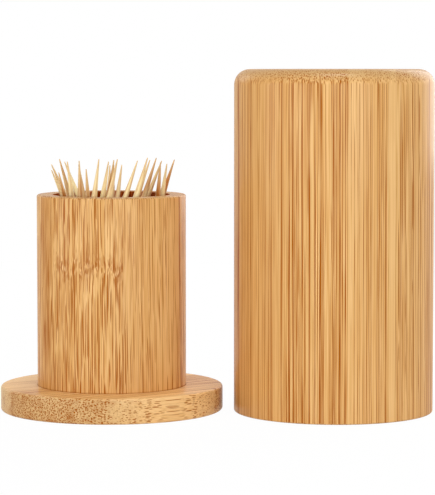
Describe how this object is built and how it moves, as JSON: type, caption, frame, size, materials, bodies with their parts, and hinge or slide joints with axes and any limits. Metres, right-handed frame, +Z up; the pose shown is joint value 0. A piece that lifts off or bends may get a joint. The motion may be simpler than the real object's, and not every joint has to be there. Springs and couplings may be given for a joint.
{
  "type": "toothpick holder with lift-off cover",
  "caption": "Round bamboo toothpick holder: a cup of toothpicks glued in a disc base, with its deep lift-off cover standing beside it.",
  "frame": {"origin": "centre of the base's underside, on the surface that the holder stands on", "axes": "+Z up along the cup's axis, +X from the base to the cover that stands beside it, +Y to the back"},
  "size_m": [0.1263, 0.065, 0.0995],
  "materials": {
    "base_bamboo": "clear satin lacquer on laminated bamboo",
    "cup_bamboo": "clear satin lacquer on laminated bamboo",
    "cover_bamboo": "clear satin lacquer on laminated bamboo",
    "toothpick_wood": "bare, smooth turned"
  },
  "bodies": {
    "holder": {"base_disc": "base_bamboo", "cup": "cup_bamboo"},
    "cover": {"cover": "cover_bamboo"},
    "toothpick_01": {"toothpick_01": "toothpick_wood"},
    "toothpick_02": {"toothpick_02": "toothpick_wood"},
    "toothpick_03": {"toothpick_03": "toothpick_wood"},
    "toothpick_04": {"toothpick_04": "toothpick_wood"},
    "toothpick_05": {"toothpick_05": "toothpick_wood"},
    "toothpick_06": {"toothpick_06": "toothpick_wood"},
    "toothpick_07": {"toothpick_07": "toothpick_wood"},
    "toothpick_08": {"toothpick_08": "toothpick_wood"},
    "toothpick_09": {"toothpick_09": "toothpick_wood"},
    "toothpick_10": {"toothpick_10": "toothpick_wood"},
    "toothpick_11": {"toothpick_11": "toothpick_wood"},
    "toothpick_12": {"toothpick_12": "toothpick_wood"},
    "toothpick_13": {"toothpick_13": "toothpick_wood"},
    "toothpick_14": {"toothpick_14": "toothpick_wood"},
    "toothpick_15": {"toothpick_15": "toothpick_wood"},
    "toothpick_16": {"toothpick_16": "toothpick_wood"},
    "toothpick_17": {"toothpick_17": "toothpick_wood"},
    "toothpick_18": {"toothpick_18": "toothpick_wood"},
    "toothpick_19": {"toothpick_19": "toothpick_wood"},
    "toothpick_20": {"toothpick_20": "toothpick_wood"},
    "toothpick_21": {"toothpick_21": "toothpick_wood"},
    "toothpick_22": {"toothpick_22": "toothpick_wood"},
    "toothpick_23": {"toothpick_23": "toothpick_wood"},
    "toothpick_24": {"toothpick_24": "toothpick_wood"}
  },
  "joints": [
    {"name": "cover_lift", "type": "slide", "parent": "holder", "child": "cover", "axis": [0, 0, 1], "range_m": [0, 0.08]},
    {"name": "toothpick_01_draw", "type": "slide", "parent": "holder", "child": "toothpick_01", "axis": [-0.3968, -0.0683, 0.9154], "range_m": [0, 0.0513]},
    {"name": "toothpick_02_draw", "type": "slide", "parent": "holder", "child": "toothpick_02", "axis": [-0.3521, -0.2651, 0.8976], "range_m": [0, 0.0513]},
    {"name": "toothpick_03_draw", "type": "slide", "parent": "holder", "child": "toothpick_03", "axis": [-0.2411, -0.2247, 0.9441], "range_m": [0, 0.0513]},
    {"name": "toothpick_04_draw", "type": "slide", "parent": "holder", "child": "toothpick_04", "axis": [-0.3719, 0.0863, 0.9242], "range_m": [0, 0.0513]},
    {"name": "toothpick_05_draw", "type": "slide", "parent": "holder", "child": "toothpick_05", "axis": [-0.1904, -0.4117, 0.8912], "range_m": [0, 0.0513]},
    {"name": "toothpick_06_draw", "type": "slide", "parent": "holder", "child": "toothpick_06", "axis": [-0.0953, -0.3258, 0.9406], "range_m": [0, 0.0513]},
    {"name": "toothpick_07_draw", "type": "slide", "parent": "holder", "child": "toothpick_07", "axis": [-0.1132, -0.3596, 0.9262], "range_m": [0, 0.0513]},
    {"name": "toothpick_08_draw", "type": "slide", "parent": "holder", "child": "toothpick_08", "axis": [-0.0042, -0.3246, 0.9458], "range_m": [0, 0.0513]},
    {"name": "toothpick_09_draw", "type": "slide", "parent": "holder", "child": "toothpick_09", "axis": [-0.0331, -0.4139, 0.9097], "range_m": [0, 0.0513]},
    {"name": "toothpick_10_draw", "type": "slide", "parent": "holder", "child": "toothpick_10", "axis": [0.1315, -0.2672, 0.9546], "range_m": [0, 0.0513]},
    {"name": "toothpick_11_draw", "type": "slide", "parent": "holder", "child": "toothpick_11", "axis": [0.0258, 0.4219, 0.9063], "range_m": [0, 0.0513]},
    {"name": "toothpick_12_draw", "type": "slide", "parent": "holder", "child": "toothpick_12", "axis": [0.1653, -0.2906, 0.9425], "range_m": [0, 0.0513]},
    {"name": "toothpick_13_draw", "type": "slide", "parent": "holder", "child": "toothpick_13", "axis": [0.0293, 0.4275, 0.9035], "range_m": [0, 0.0513]},
    {"name": "toothpick_14_draw", "type": "slide", "parent": "holder", "child": "toothpick_14", "axis": [0.1449, -0.2818, 0.9485], "range_m": [0, 0.0513]},
    {"name": "toothpick_15_draw", "type": "slide", "parent": "holder", "child": "toothpick_15", "axis": [0.2119, -0.2116, 0.9541], "range_m": [0, 0.0513]},
    {"name": "toothpick_16_draw", "type": "slide", "parent": "holder", "child": "toothpick_16", "axis": [0.1115, 0.4056, 0.9072], "range_m": [0, 0.0513]},
    {"name": "toothpick_17_draw", "type": "slide", "parent": "holder", "child": "toothpick_17", "axis": [0.315, -0.0795, 0.9458], "range_m": [0, 0.0513]},
    {"name": "toothpick_18_draw", "type": "slide", "parent": "holder", "child": "toothpick_18", "axis": [0.289, -0.0084, 0.9573], "range_m": [0, 0.0513]},
    {"name": "toothpick_19_draw", "type": "slide", "parent": "holder", "child": "toothpick_19", "axis": [0.3243, -0.0172, 0.9458], "range_m": [0, 0.0513]},
    {"name": "toothpick_20_draw", "type": "slide", "parent": "holder", "child": "toothpick_20", "axis": [0.3041, 0.1372, 0.9427], "range_m": [0, 0.0513]},
    {"name": "toothpick_21_draw", "type": "slide", "parent": "holder", "child": "toothpick_21", "axis": [0.3722, -0.0165, 0.928], "range_m": [0, 0.0513]},
    {"name": "toothpick_22_draw", "type": "slide", "parent": "holder", "child": "toothpick_22", "axis": [0.0811, -0.3435, 0.9356], "range_m": [0, 0.0513]},
    {"name": "toothpick_23_draw", "type": "slide", "parent": "holder", "child": "toothpick_23", "axis": [0.1526, -0.3412, 0.9275], "range_m": [0, 0.0513]},
    {"name": "toothpick_24_draw", "type": "slide", "parent": "holder", "child": "toothpick_24", "axis": [0.3111, -0.1283, 0.9417], "range_m": [0, 0.0513]}
  ]
}
